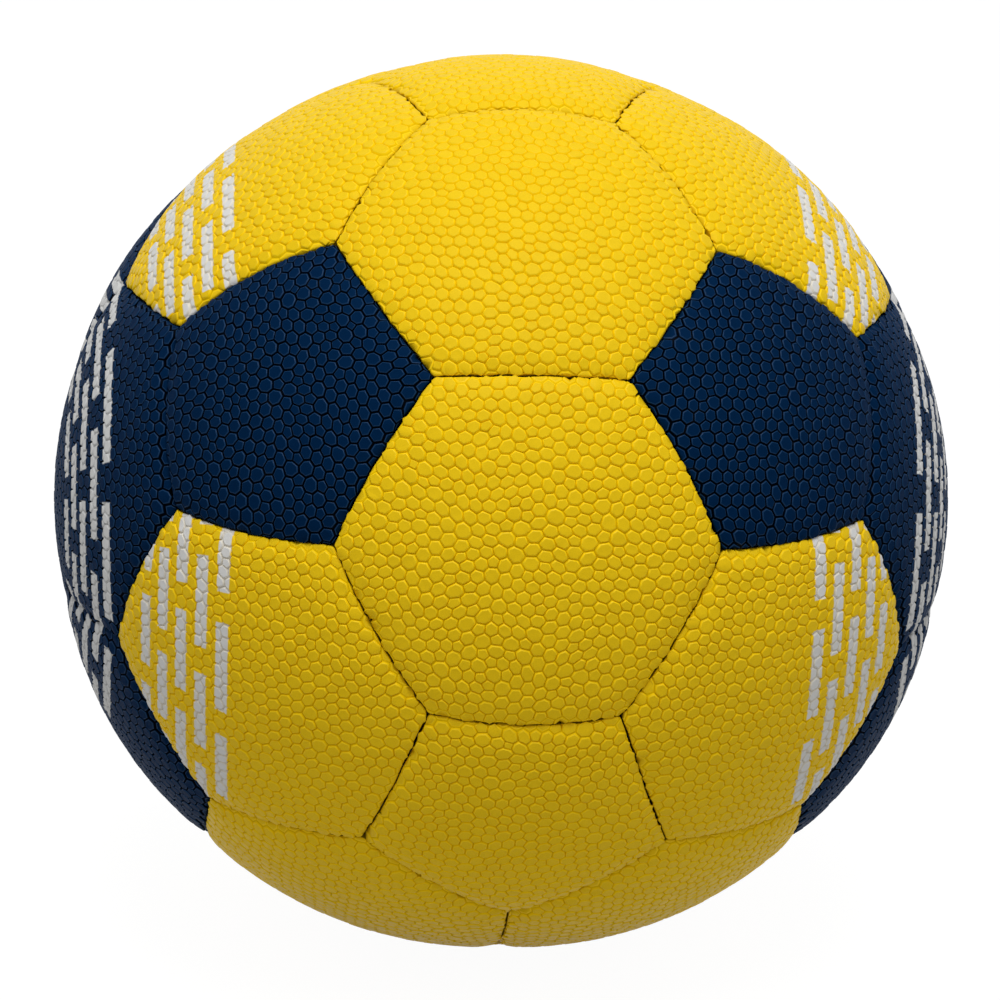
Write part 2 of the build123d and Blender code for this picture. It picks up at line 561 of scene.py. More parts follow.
@dataclass(frozen=True)
class ThreadFinish(Finish):
    """Waxed twisted thread."""

    colour: Colour
    lay: float
    shade: float = 0.5
    roughness: float = 0.55
    relief: tuple[float, float] = (0.0001, 0.8)

    def paint(self, shader: Shader) -> None:
        """Feed a material's shader with the thread."""
        x, y, z = shader.axes()
        twist = ((x + y + z) * (2 * pi / self.lay)).math("SINE") * 0.5 + 0.5
        colour = shader.mix(twist, self.shaded(self.colour, self.shade), self.colour)
        shader.finish(Base_Color=colour, Roughness=self.roughness, Normal=shader.bump(twist, *self.relief))


@dataclass(frozen=True)
class BallSizes:
    """The cover's driving sizes, in metres."""

    radius: float
    crown_rise: float = 0.0009
    skin: float = 0.0013
    roll: float = 0.0006
    corner: float = 0.0012
    seam_gap: float = 0.00004
    flange: float = 0.0049
    wander: float = 0.00007
    wander_length: float = 0.008
    dip: float = 0.00075
    dip_reach: float = 0.0024
    dip_corner: float = 0.007
    bow_reach: float = 0.015
    valve_hole: float = 0.00415
    valve_rim: float = 0.0004

    @property
    def seam_half_angle(self) -> float:
        """Half a seam, seen from the ball's centre."""
        return asin(2 / sqrt(58 + 18 * sqrt(5)))

    def pentagons(self) -> list[np.ndarray]:
        """Directions of the twelve pentagons."""
        spacing = atan(2)
        made = [np.array((0.0, 0.0, 1.0)), np.array((0.0, 0.0, -1.0))]
        for polar, first in ((spacing, -pi / 2 + pi / 5), (pi - spacing, -pi / 2)):
            for step in range(5):
                around = first + step * 2 * pi / 5
                made.append(np.array((sin(polar) * cos(around), sin(polar) * sin(around), cos(polar))))
        return made

    def hexagons(self) -> list[tuple[np.ndarray, np.ndarray]]:
        """Directions of the twenty hexagons, each with that of a pentagon beside it."""
        made = []
        for trio in combinations(self.pentagons(), 3):
            if all(np.dot(a, b) > 0 for a, b in combinations(trio, 2)):
                middle = sum(trio)
                made.append((middle / np.linalg.norm(middle), trio[0]))
        return made


@dataclass(frozen=True)
class PanelForm:
    """The nominal face of one panel about +Z: a crown whose edge rolls over into a flange."""

    kind: PanelKind
    sizes: BallSizes
    turned: np.ndarray
    bows: np.ndarray
    bend_shares: tuple[float, ...] = (0.0, 0.25, 0.5, 0.75, 1.0)
    rim_reach: float = 0.7
    rim_halvings: int = 50

    @property
    def folded(self) -> float:
        """The overhang of the flange's tip."""
        return self.sizes.roll * pi / 2 + self.sizes.flange - self.sizes.roll

    @property
    def tilt(self) -> float:
        """The angle from the panel's axis to the middle of a seam."""
        return asin(tan(self.sizes.seam_half_angle) / tan(pi / self.kind.value))

    @property
    def lift(self) -> float:
        """How far out along the axis the crown's sphere is centred."""
        corner = asin(sin(self.sizes.seam_half_angle) / sin(pi / self.kind.value))
        edge = self.sizes.radius - self.sizes.crown_rise
        return (self.sizes.radius**2 - edge**2) / (2 * (self.sizes.radius - edge * cos(corner)))

    @property
    def crown_radius(self) -> float:
        """The radius of the crown's sphere."""
        return self.sizes.radius - self.lift

    def seams(self) -> np.ndarray:
        """Unit normals of the seam planes, pointing into the panel."""
        sides = self.kind.value
        first = 0.0 if self.kind is PanelKind.HEXAGON else pi / sides
        around = first + np.arange(sides) * 2 * pi / sides
        tilted = np.stack([-cos(self.tilt) * np.cos(around), -cos(self.tilt) * np.sin(around)], axis=1)
        return np.column_stack([tilted, np.full(sides, sin(self.tilt))])

    def crown(self, flat: np.ndarray, depth: float = 0.0) -> np.ndarray:
        """Lay flat points on the crown, keeping their distance and direction from its middle.

        Args:
            flat: points, two numbers each.
            depth: how far below the crown they lie.

        Returns:
            Points about +Z.
        """
        away = np.linalg.norm(flat, axis=1)
        angle = away / self.crown_radius
        reach = self.crown_radius - depth
        heading = flat / np.maximum(away, 1e-12)[:, None]
        level = heading * (reach * np.sin(angle))[:, None]
        return np.column_stack([level, self.lift + reach * np.cos(angle)])

    def flatten(self, points: np.ndarray) -> np.ndarray:
        """The flat points that lie at points of the crown."""
        level = points - np.array((0.0, 0.0, self.lift))
        away = np.linalg.norm(level[:, :2], axis=1)
        angle = np.arctan2(away, level[:, 2])
        return level[:, :2] / np.maximum(away, 1e-12)[:, None] * (angle * self.crown_radius)[:, None]

    def inset(self, points: np.ndarray, corner: float) -> tuple[np.ndarray, np.ndarray]:
        """How far points lie inside the seam planes, with the panel's corners rounded.

        Args:
            points: points about +Z.
            corner: the radius of the corners.

        Returns:
            The distances, and the directions into the panel.
        """
        normals = self.seams()
        distance = points @ normals.T + self.wander(points)
        order = np.argsort(distance, axis=1)
        rows = np.arange(len(points))
        first, second = normals[order[:, 0]], normals[order[:, 1]]
        centre = self.sizes.seam_gap / 2 + corner
        short_a = centre - distance[rows, order[:, 0]]
        short_b = centre - distance[rows, order[:, 1]]
        between = np.einsum("ij,ij->i", first, second)
        along_a = (short_a - short_b * between) / (1 - between**2)
        along_b = (short_b - short_a * between) / (1 - between**2)
        cornered = (along_a > 0) & (along_b > 0)
        pull = first * along_a[:, None] + second * along_b[:, None]
        length = np.linalg.norm(pull, axis=1)
        inside = np.where(cornered, centre - length, distance[rows, order[:, 0]])
        inward = np.where(cornered[:, None], pull / np.maximum(length, 1e-12)[:, None], first)
        return inside, inward

    def wander(self, points: np.ndarray) -> np.ndarray:
        """How far each seam strays from its plane at points, the same on both panels that it joins.

        Args:
            points: points about +Z.

        Returns:
            A distance into the panel for every point and seam.
        """
        sizes = self.sizes
        around = points @ self.turned.T / sizes.wander_length
        sway = np.sin(around @ SWAYS[0]) + np.sin(around @ SWAYS[1] + SWAY_PHASE)
        side = np.sign(self.seams() @ self.turned.T @ SIDEWAYS)
        return sizes.wander * sway[:, None] * side

    def overhang(self, flat: np.ndarray) -> np.ndarray:
        """How far flat points lie past the start of the rolled edge."""
        return self.sizes.seam_gap / 2 + self.sizes.roll - self.inset(self.crown(flat), self.sizes.corner)[0]

    def edge_frame(self, flat: np.ndarray) -> tuple[np.ndarray, np.ndarray, np.ndarray, np.ndarray]:
        """Where flat points past the start of the roll leave the crown.

        Args:
            flat: points, two numbers each.

        Returns:
            Places on the crown, outward normals there, directions into the panel, and overhangs.
        """
        points = self.crown(flat)
        inside, inward = self.inset(points, self.sizes.corner)
        past = np.maximum(self.sizes.seam_gap / 2 + self.sizes.roll - inside, 0.0)
        centre = np.array((0.0, 0.0, self.lift))
        outward = points + inward * past[:, None] - centre
        outward /= np.linalg.norm(outward, axis=1)[:, None]
        level = inward - outward * np.einsum("ij,ij->i", inward, outward)[:, None]
        level /= np.maximum(np.linalg.norm(level, axis=1), 1e-12)[:, None]
        return centre + outward * self.crown_radius, outward, level, past

    def fold(self, flat: np.ndarray, rise: np.ndarray) -> np.ndarray:
        """Lay flat points on the crown, over the rolled edge and down the flange.

        Args:
            flat: points, two numbers each.
            rise: how far each of them stands off the surface.

        Returns:
            Points about +Z.
        """
        start, outward, level, past = self.edge_frame(flat)
        roll = self.sizes.roll
        turn = np.minimum(past / roll, pi / 2)
        drop = roll * (1 - np.cos(turn)) + np.maximum(past - roll * pi / 2, 0.0)
        surface = start - level * (roll * np.sin(turn))[:, None] - outward * drop[:, None]
        facing = outward * np.cos(turn)[:, None] - level * np.sin(turn)[:, None]
        inside = np.maximum(self.inset(self.crown(flat), self.sizes.dip_corner)[0], 0.0)
        dip = self.sizes.dip * np.exp(-((inside / self.sizes.dip_reach) ** 2))
        return surface + facing * rise[:, None] - outward * dip[:, None]

    def bowed(self, points: np.ndarray) -> np.ndarray:
        """Carry points along with seams that bow out of their planes.

        Args:
            points: points about +Z.

        Returns:
            The moved points.
        """
        normals = self.seams()
        along = np.cross(normals, np.array((0.0, 0.0, 1.0)))
        along /= np.linalg.norm(along, axis=1)[:, None]
        half = self.sizes.radius * sin(self.sizes.seam_half_angle)
        share = np.clip(1.0 - (points @ along.T / half) ** 2, 0.0, 1.0)
        fade = np.clip(1.0 - np.maximum(points @ normals.T, 0.0) / self.sizes.bow_reach, 0.0, 1.0)
        return points - (share * fade**2 * (3.0 - 2.0 * fade) * self.bows) @ normals

    def creases(self) -> list[tuple[np.ndarray, float]]:
        """Planes that cut the unfolded crown along the bends of the rolled edge.

        Returns:
            Unit normals that point into the panel, and distances from the ball's centre.
        """
        normals = self.seams()
        sizes = self.sizes
        centre = sizes.seam_gap / 2 + sizes.corner
        planes = []
        for share in self.bend_shares:
            past = share * sizes.roll * pi / 2
            planes += [(normal, sizes.seam_gap / 2 + sizes.roll - past) for normal in normals]
            for between in normals + np.roll(normals, -1, axis=0):
                length = np.linalg.norm(between)
                planes.append((between / length, 2 * centre / length - (sizes.corner - sizes.roll + past)))
        return planes

    def rim(self, overhang: float, count: int) -> np.ndarray:
        """Flat points around the panel at one overhang from straight seams.

        Args:
            overhang: how far past the start of the roll they lie.
            count: how many there are.

        Returns:
            Points, two numbers each.
        """
        nominal = replace(self, sizes=replace(self.sizes, wander=0.0))
        around = np.arange(count) * 2 * pi / count
        heading = np.column_stack([np.cos(around), np.sin(around)])
        low = np.zeros(count)
        high = np.full(count, self.sizes.radius * self.rim_reach)
        for _ in range(self.rim_halvings):
            middle = (low + high) / 2
            past = nominal.overhang(heading * middle[:, None])
            low = np.where(past < overhang, middle, low)
            high = np.where(past < overhang, high, middle)
        return heading * low[:, None]


@dataclass
class PebbleGrain:
    """The cover's pebbles: a cell around every seed, raised from its grooves and rounded.

    The pitches, the groove and the edge's fade are in metres. The profile gives the height and the width of
    each ring of a pebble, as shares of the whole.
    """

    pitch: float = 0.0026
    row_pitch: float = 0.00238
    gap_spread: float = 0.19
    jitter_share: float = 0.18
    wave_share: float = 0.24
    wave_pitches: tuple[float, ...] = (5.5, 9.0)
    wave_drift: float = 0.35
    settle_share: float = 0.4
    settle_times: int = 1
    groove: float = 0.00046
    edge_fade: float = 0.0006
    edge_relief: float = 0.2
    profile: tuple[tuple[float, float], ...] = (
        (0.3, 0.935),
        (0.75, 0.835),
        (0.95, 0.765),
        (1.0, 0.7),
    )
    least_swell: float = 0.85
    swell_spread: float = 0.3
    least_relief: float = 0.02
    reach_share: float = 0.55
    hole_clearance: float = 0.6
    rim_points_per_side: int = 12
    tree: bpy.types.NodeTree = field(init=False)

    def __post_init__(self) -> None:
        """Build the node tree that turns a net of seeds into pebbles."""
        self.tree = bpy.data.node_groups.new("pebble_grain", "GeometryNodeTree")
        face = self.tree.interface
        face.new_socket("Net", in_out="INPUT", socket_type="NodeSocketGeometry")
        self.inputs = {
            name: face.new_socket(name, in_out="INPUT", socket_type=kind)
            for name, kind in (
                ("Groove depth", "NodeSocketFloat"),
                ("Cover", "NodeSocketMaterial"),
            )
        }
        face.new_socket("Pebbles", in_out="OUTPUT", socket_type="NodeSocketGeometry")
        given = self.add("NodeGroupInput").outputs
        relief = self.named("relief")
        cells = self.add("GeometryNodeDualMesh", {}, {"Mesh": given["Net"], "Keep Boundaries": True})
        normal = self.add("GeometryNodeInputNormal").outputs["Normal"]
        sunk_by = self.maths("MULTIPLY", given["Groove depth"], relief)
        inward_by = self.maths("MULTIPLY", sunk_by, -1.0)
        inward = self.add("ShaderNodeVectorMath", {"operation": "SCALE"}, {0: normal, "Scale": inward_by})
        sockets = {"Geometry": cells.outputs[0], "Offset": inward.outputs[0]}
        stage = self.add("GeometryNodeSetPosition", {}, sockets).outputs[0]
        swell = self.maths("MULTIPLY_ADD", self.named("tone"), self.swell_spread, self.least_swell)
        chosen = self.maths("GREATER_THAN", relief, self.least_relief)
        before = (0.0, 1.0)
        for height, share in self.profile:
            climb = self.maths("MULTIPLY", self.maths("MULTIPLY", sunk_by, swell), height - before[0])
            raised = self.add(
                "GeometryNodeExtrudeMesh",
                {"mode": "FACES"},
                {"Mesh": stage, "Selection": chosen, "Offset Scale": climb, "Individual": True},
            )
            chosen = raised.outputs["Top"]
            topped = self.add(
                "GeometryNodeScaleElements",
                {"domain": "FACE"},
                {0: raised.outputs["Mesh"], "Selection": chosen, "Scale": share / before[1]},
            )
            stored = self.add(
                "GeometryNodeStoreNamedAttribute",
                {"data_type": "FLOAT", "domain": "POINT"},
                {"Geometry": topped.outputs[0], "Selection": chosen, "Name": "height", "Value": height},
            )
            stage = stored.outputs[0]
            before = (height, share)
        smooth = self.add("GeometryNodeSetShadeSmooth", {}, {0: stage})
        real = self.add("GeometryNodeRealizeInstances", {}, {0: smooth.outputs[0]})
        covered = self.add("GeometryNodeSetMaterial", {}, {0: real.outputs[0], "Material": given["Cover"]})
        self.add("NodeGroupOutput", {}, {0: covered.outputs[0]})

    def add(
        self,
        kind: str,
        settings: Union[dict[str, Any], None] = None,
        sockets: Union[dict[Any, Any], None] = None,
    ) -> bpy.types.Node:
        """Add a node to the tree.

        Args:
            kind: the node's type.
            settings: its properties, set first.
            sockets: numbers or links for its inputs, by name or place.

        Returns:
            The node.
        """
        made = self.tree.nodes.new(kind)
        for name, setting in (settings or {}).items():
            setattr(made, name, setting)
        for name, given in (sockets or {}).items():
            if isinstance(given, bpy.types.NodeSocket):
                self.tree.links.new(given, made.inputs[name])
            else:
                made.inputs[name].default_value = given
        return made

    def maths(self, operation: str, *operands: Any) -> bpy.types.NodeSocket:
        """The result of a Math node in the tree."""
        return self.add("ShaderNodeMath", {"operation": operation}, dict(enumerate(operands))).outputs[0]

    def named(self, name: str) -> bpy.types.NodeSocket:
        """A number stored on the net."""
        return self.add("GeometryNodeInputNamedAttribute", {"data_type": "FLOAT"}, {"Name": name}).outputs[0]

    def seeds(
        self, form: PanelForm, overhang: float, turn: float, chance: np.random.Generator
    ) -> np.ndarray:
        """Scatter seeds over a panel, in uneven rows.

        Args:
            form: the panel's face.
            overhang: how far past the start of the roll seeds go.
            turn: the angle of the rows.
            chance: the panel's own random numbers.

        Returns:
            Flat points, two numbers each.
        """
        reach = form.sizes.radius * self.reach_share
        count = int(2 * reach / self.pitch) + 2
        rows = []
        for across in np.arange(-reach, reach, self.row_pitch):
            gaps = self.pitch * (1 + chance.uniform(-1, 1, count) * self.gap_spread)
            along = np.cumsum(gaps) - reach - chance.uniform(0, self.pitch)
            rows.append(np.column_stack([along, np.full(count, across)]))
        grid = np.concatenate(rows)
        grid[:, 1] += self.waves(grid, chance)
        grid[:, 1] += chance.uniform(-1, 1, len(grid)) * self.jitter_share * self.row_pitch
        grid = grid @ np.array(((cos(turn), sin(turn)), (-sin(turn), cos(turn))))
        return grid[form.overhang(grid) < overhang]

    def waves(self, grid: np.ndarray, chance: np.random.Generator) -> np.ndarray:
        """Waves that neighbouring rows share.

        Args:
            grid: flat points in rows.
            chance: the panel's own random numbers.

        Returns:
            How far each point is carried across its row.
        """
        carried = np.zeros(len(grid))
        for pitches in self.wave_pitches:
            drift = chance.uniform(-1, 1) * self.wave_drift
            phase = (grid[:, 0] + drift * grid[:, 1]) * (2 * pi / (pitches * self.pitch))
            carried += np.sin(phase + chance.uniform(0, 2 * pi))
        return carried * self.wave_share * self.pitch

    def net(
        self, form: PanelForm, hole: float, turn: float, chance: np.random.Generator
    ) -> tuple[np.ndarray, np.ndarray, np.ndarray]:
        """A net of triangles between seeds, with rings of points round the flange's tip and any hole.

        Args:
            form: the panel's face.
            hole: the radius of a hole in the panel's middle, or 0.
            turn: the angle of the rows of pebbles.
            chance: the panel's own random numbers.

        Returns:
            The net's flat points, its triangles, and how much relief each point has.
        """
        bend = form.sizes.roll * pi / 2
        seeds = self.seeds(form, bend + self.pitch / 2, turn, chance)
        clear = hole + self.pitch * self.hole_clearance if hole else 0.0
        seeds = seeds[np.linalg.norm(seeds, axis=1) > clear]
        count = form.kind.value * self.rim_points_per_side
        rim = form.rim(form.folded, count)
        ring = rim * (hole / np.linalg.norm(rim, axis=1))[:, None] if hole else np.empty((0, 2))
        flat = np.concatenate([seeds, rim, ring])
        for _ in range(self.settle_times):
            flat[: len(seeds)] += self.settle(flat, self.triangulate(flat))[: len(seeds)]
        triangles = self.triangulate(flat)
        triangles = triangles[(triangles < len(seeds) + count).any(axis=1)]
        overhang = form.overhang(flat)
        relief = np.clip((bend + self.pitch / 2 - overhang) / (self.pitch / 2), 0.0, 1.0)
        faded = np.clip((bend - overhang) / (bend + self.edge_fade), self.edge_relief, 1.0)
        relief = np.minimum(relief, faded)
        relief[len(seeds) + count :] = 0.0
        return flat, triangles, relief

    def triangulate(self, flat: np.ndarray) -> np.ndarray:
        """Join flat points by triangles as even as can be."""
        made = delaunay_2d_cdt([Vector(point) for point in flat], [], [], 0, 1e-9)
        return np.array(made[2])

    def settle(self, flat: np.ndarray, triangles: np.ndarray) -> np.ndarray:
        """A share of each point's way to the middle of the triangles around it."""
        corners = flat[triangles]
        sides = corners[:, 1:] - corners[:, :1]
        area = np.abs(sides[:, 0, 0] * sides[:, 1, 1] - sides[:, 0, 1] * sides[:, 1, 0])
        moment = corners.mean(axis=1) * area[:, None]
        total = np.zeros_like(flat)
        weight = np.zeros(len(flat))
        for corner in range(3):
            np.add.at(total, triangles[:, corner], moment)
            np.add.at(weight, triangles[:, corner], area)
        return (total / np.maximum(weight, 1e-12)[:, None] - flat) * self.settle_share

    def grow(self, net: bpy.types.Object, cover: bpy.types.Material) -> bpy.types.Mesh:
        """Turn a net into pebbles.

        Args:
            net: an object whose mesh has relief and tone on its points.
            cover: the cover's material.

        Returns:
            A plain mesh.
        """
        modifier = net.modifiers.new("grain", "NODES")
        modifier.node_group = self.tree
        modifier[self.inputs["Groove depth"].identifier] = self.groove
        modifier[self.inputs["Cover"].identifier] = cover
        seen = net.evaluated_get(bpy.context.evaluated_depsgraph_get())
        mesh = bpy.data.meshes.new_from_object(seen)
        net.modifiers.remove(modifier)
        return mesh


@dataclass
class CoverPanel:
    """One cover panel: a closed tray of pebbled leather that stands for its solid in the part."""

    node: str
    kind: PanelKind
    cover: Cover
    turned: np.ndarray
    sizes: BallSizes
    chance: int
    bows: np.ndarray = field(init=False)
    pierced: bool = False
    stitch_pitch: float = 0.004
    stitch_pull: float = 0.00008
    stitch_width: float = 0.0006
    stitch_reach: float = 0.0009
    stitch_margin: float = 0.0055
    flat_height: float = 0.99
    row_turn: float = 0.15
    back_step: float = 0.0006
    back_shares: tuple[float, ...] = (0.96, 0.75, 0.5, 0.25)
    back_tone: float = 0.5
    middle_side: float = 0.1
    printed_side: dict[PanelKind, float] = field(
        default_factory=lambda: {PanelKind.HEXAGON: 0.5, PanelKind.PENTAGON: 0.8}
    )

    @property
    def group(self) -> PanelGroup:
        """Where the panel sits on the ball."""
        if self.kind is PanelKind.PENTAGON:
            return PanelGroup.NAVY_PENTAGON if self.cover is Cover.NAVY else PanelGroup.YELLOW_PENTAGON
        if self.cover is Cover.NAVY:
            return PanelGroup.NAVY_HEXAGON
        return PanelGroup.MIDDLE_HEXAGON if self.side < self.middle_side else PanelGroup.SIDE_HEXAGON

    @property
    def side(self) -> float:
        """How far to the left or right the panel faces, from 0 to 1."""
        return abs(self.turned[0, 2])

    @property
    def printed(self) -> bool:
        """Whether the panel carries printed dashes."""
        return self.side > self.printed_side[self.kind]

    def bow(self, others: Sequence["CoverPanel"]) -> None:
        """Work out how far the panel reaches past each of its seams.

        Args:
            others: the rest of the cover.
        """
        axis = self.turned[:, 2]
        bows = []
        for normal in PanelForm(self.kind, self.sizes, self.turned, np.zeros(1)).seams() @ self.turned.T:
            beyond = axis - 2 * np.dot(axis, normal) * normal
            other = max(others, key=lambda panel: np.dot(panel.turned[:, 2], beyond))
            given = SEAM_BOWS.get((self.group, other.group), 0.0)
            bows.append(given - SEAM_BOWS.get((other.group, self.group), 0.0))
        self.bows = np.array(bows)

    def build(self, grain: PebbleGrain, material: bpy.types.Material) -> bpy.types.Object:
        """Make the panel.

        Args:
            grain: how pebbles are made.
            material: the panel's cover.

        Returns:
            The finished piece.
        """
        form = PanelForm(self.kind, self.sizes, self.turned, self.bows)
        chance = np.random.default_rng(self.chance)
        hole = self.sizes.valve_hole + self.sizes.valve_rim if self.pierced else 0.0
        level = np.cross((0.0, 0.0, 1.0), self.turned[:, 2])
        turn = np.arctan2(level @ self.turned[:, 1], level @ self.turned[:, 0])
        turn += chance.normal(0, self.row_turn)
        flat, triangles, relief = grain.net(form, hole, float(turn), chance)
        net = bpy.data.meshes.new(self.node + "_net")
        net.from_pydata(np.column_stack([flat, np.zeros(len(flat))]).tolist(), [], triangles.tolist())
        for name, numbers in (("relief", relief), ("tone", chance.uniform(0, 1, len(flat)))):
            self.store(net, name, "POINT", numbers)
        holder = bpy.data.objects.new(self.node + "_net", net)
        bpy.context.scene.collection.objects.link(holder)
        grown = grain.grow(holder, material)
        bpy.data.objects.remove(holder)
        bpy.data.meshes.remove(net)
        self.crease(form, grown)
        piece = bpy.data.objects.new(self.node + "_cover", self.close(form, grown))
        bpy.context.scene.collection.objects.link(piece)
        return piece

    def crease(self, form: PanelForm, grown: bpy.types.Mesh) -> None:
        """Lay the flat grain on the unfolded crown and cut it along the bends of the rolled edge.

        Args:
            form: the panel's face.
            grown: the flat grain, which keeps its heights as a number on its points.
        """
        places = self.places(grown)
        flat, rise = places[:, :2], places[:, 2]
        self.store(grown, "rise", "POINT", rise)
        past = form.overhang(flat)
        bend = self.sizes.roll * pi / 2
        near = (past > -self.sizes.roll) & (past < (bend + form.folded) / 2)
        mesh = bmesh.new()
        mesh.from_mesh(grown)
        for vertex, place in zip(mesh.verts, form.crown(flat)):
            vertex.co = place
        faces = [face for face in mesh.faces if all(near[corner.index] for corner in face.verts)]
        edges = {edge for face in faces for edge in face.edges}
        corners = {corner for face in faces for corner in face.verts}
        cut: list[Any] = [*corners, *edges, *faces]
        for normal, distance in form.creases():
            cut = bmesh.ops.bisect_plane(
                mesh, geom=cut, dist=1e-6, plane_co=Vector(normal * distance), plane_no=Vector(normal)
            )["geom"]
        mesh.to_mesh(grown)
        mesh.free()

    def close(self, form: PanelForm, grown: bpy.types.Mesh) -> bpy.types.Mesh:
        """Fold the pebbled face, give it its back, pull in its stitches and turn it to its place.

        Args:
            form: the panel's face.
            grown: the creased grain on the unfolded crown, open at the flange's tip and at any hole.

        Returns:
            The closed mesh, in the part's frame.
        """
        count = len(grown.vertices)
        flat = form.flatten(self.places(grown))
        points = form.fold(flat, self.numbers(grown, "rise", "POINT", count))
        seam = np.clip(form.overhang(flat) / (self.sizes.roll * pi / 2), 0.0, 1.0)
        stitch, outward = self.stitches(form, points)
        points = form.bowed(points - outward * (stitch * self.stitch_pull)[:, None])
        loops = self.open_edges(grown)
        tip = max(loops, key=lambda loop: np.linalg.norm(flat[loop], axis=1).min())
        rings = self.back(form, points[tip])
        levels = [tip]
        start = count
        for ring in rings:
            levels.append(np.arange(start, start + len(ring)))
            start += len(ring)
        if self.pierced:
            hole = min(loops, key=lambda loop: np.linalg.norm(flat[loop[0]]))
            levels.append(self.facing_loop(flat, tip, hole))
        skirt = self.skirt(levels)
        faces = [tuple(polygon.vertices) for polygon in grown.polygons] + skirt
        every = np.concatenate([points, *rings])
        extra = np.zeros(len(every) - count)
        height = np.append(self.numbers(grown, "height", "POINT", count), extra)
        tone = self.numbers(grown, "tone", "FACE", len(grown.polygons))
        seam = np.append(seam, extra + 1.0)
        mesh = bpy.data.meshes.new(self.node + "_cover")
        mesh.from_pydata((every @ self.turned.T).tolist(), [], faces)
        mesh.materials.append(grown.materials[0])
        self.store(mesh, "height", "POINT", height)
        self.store(mesh, "seam", "POINT", seam)
        self.store(mesh, "stitch", "POINT", np.append(stitch, extra))
        self.store(mesh, "tone", "FACE", np.append(tone, np.full(len(skirt), self.back_tone)))
        rounded = []
        for face in faces:
            corners = list(face)
            rounded.append(bool(height[corners].min() < self.flat_height or seam[corners].max() > 0))
        mesh.polygons.foreach_set("use_smooth", rounded)
        mesh.update()
        bpy.data.meshes.remove(grown)
        return mesh

    def stitches(self, form: PanelForm, points: np.ndarray) -> tuple[np.ndarray, np.ndarray]:
        """Where stitches pull the rolled edge in.

        Args:
            form: the panel's face.
            points: points about +Z.

        Returns:
            The pull from 0 to 1, and the directions out of the ball.
        """
        normals = form.seams()
        distance = points @ normals.T
        nearest = np.argmin(distance, axis=1)
        upright = np.cross(normals, np.array((0.0, 0.0, 1.0)))
        along = np.einsum("ij,ij->i", points, (upright / np.linalg.norm(upright, axis=1)[:, None])[nearest])
        inside = distance[np.arange(len(points)), nearest]
        phase = np.abs((along / self.stitch_pitch) % 1.0 - 0.5)
        pulse = np.exp(-((phase * self.stitch_pitch / self.stitch_width) ** 2))
        close = np.clip(1.0 - inside / self.stitch_reach, 0.0, 1.0)
        half = self.sizes.radius * self.sizes.seam_half_angle
        clear = np.abs(along) < half - self.stitch_margin
        outward = points / np.linalg.norm(points, axis=1)[:, None]
        return pulse * close * clear, outward

    def open_edges(self, mesh: bpy.types.Mesh) -> list[np.ndarray]:
        """The mesh's open edges, each in order, as vertex numbers.

        Args:
            mesh: a mesh with open edges.

        Returns:
            The vertices of each, in the order in which the edge's faces run.
        """
        used: set[tuple[int, int]] = set()
        for polygon in mesh.polygons:
            ring = list(polygon.vertices)
            used.update(zip(ring, ring[1:] + ring[:1]))
        following = {first: second for first, second in used if (second, first) not in used}
        loops = []
        while following:
            order = [min(following)]
            while order[-1] in following:
                order.append(following.pop(order[-1]))
            loops.append(np.array(order[:-1]))
        return loops

    def facing_loop(self, flat: np.ndarray, tip: np.ndarray, loop: np.ndarray) -> np.ndarray:
        """A hole's edge, run and started so that it matches the flange's tip point by point.

        Args:
            flat: the flat points.
            tip: the tip's vertices.
            loop: the hole's vertices.

        Returns:
            The hole's vertices, in order.
        """
        if len(loop) != len(tip):
            raise ValueError(f"{self.node}: the hole has {len(loop)} points and the tip {len(tip)}")
        turned = loop[::-1]
        heads = flat[turned] / np.linalg.norm(flat[turned], axis=1)[:, None]
        start = int(np.argmax(heads @ flat[tip[0]]))
        return np.roll(turned, -start)

    def back(self, form: PanelForm, tip: np.ndarray) -> list[np.ndarray]:
        """Rings of points over the panel's back, from the flange's tip to the middle or to the hole.

        Args:
            form: the panel's face.
            tip: the open edge's points.

        Returns:
            The rings, the last of which is one point unless the panel has a hole.
        """
        inward = form.inset(tip, self.sizes.corner)[1]
        centre = np.array((0.0, 0.0, form.lift))
        wall = tip + inward * self.sizes.skin
        heads = wall - centre
        heads /= np.linalg.norm(heads, axis=1)[:, None]
        roof = form.crown_radius - self.sizes.skin
        rings = [wall, centre + heads * (roof - self.back_step)]
        axis = np.array((0.0, 0.0, 1.0))
        flat = heads[:, :2] / np.linalg.norm(heads[:, :2], axis=1)[:, None]
        for share in self.back_shares:
            angle = np.arccos(np.clip(heads @ axis, -1, 1)) * share
            ring = np.column_stack([flat * np.sin(angle)[:, None], np.cos(angle)])
            rings.append(centre + ring * roof)
        if not self.pierced:
            return [*rings, (centre + axis * roof)[None, :]]
        rim = self.sizes.valve_rim
        tipwards = tip[:, :2] / np.linalg.norm(tip[:, :2], axis=1)[:, None]
        half_turn = rim * (1 - sqrt(0.5))
        for outwards, depth in ((0.0, self.sizes.skin), (0.0, rim), (half_turn, half_turn)):
            rings.append(form.crown(tipwards * (self.sizes.valve_hole + outwards), depth))
        return rings

    def skirt(self, levels: list[np.ndarray]) -> list[tuple[int, ...]]:
        """Faces between rings of points.

        Args:
            levels: the rings' vertex numbers, from the flange's tip on; the last may be a single point.

        Returns:
            The faces.
        """
        faces: list[tuple[int, ...]] = []
        for low, high in zip(levels, levels[1:]):
            after = np.roll(low, -1)
            if len(high) == 1:
                faces += [(int(a), int(b), int(high[0])) for a, b in zip(after, low)]
                continue
            for corners in zip(after, low, high, np.roll(high, -1)):
                faces.append(tuple(int(corner) for corner in corners))
        return faces

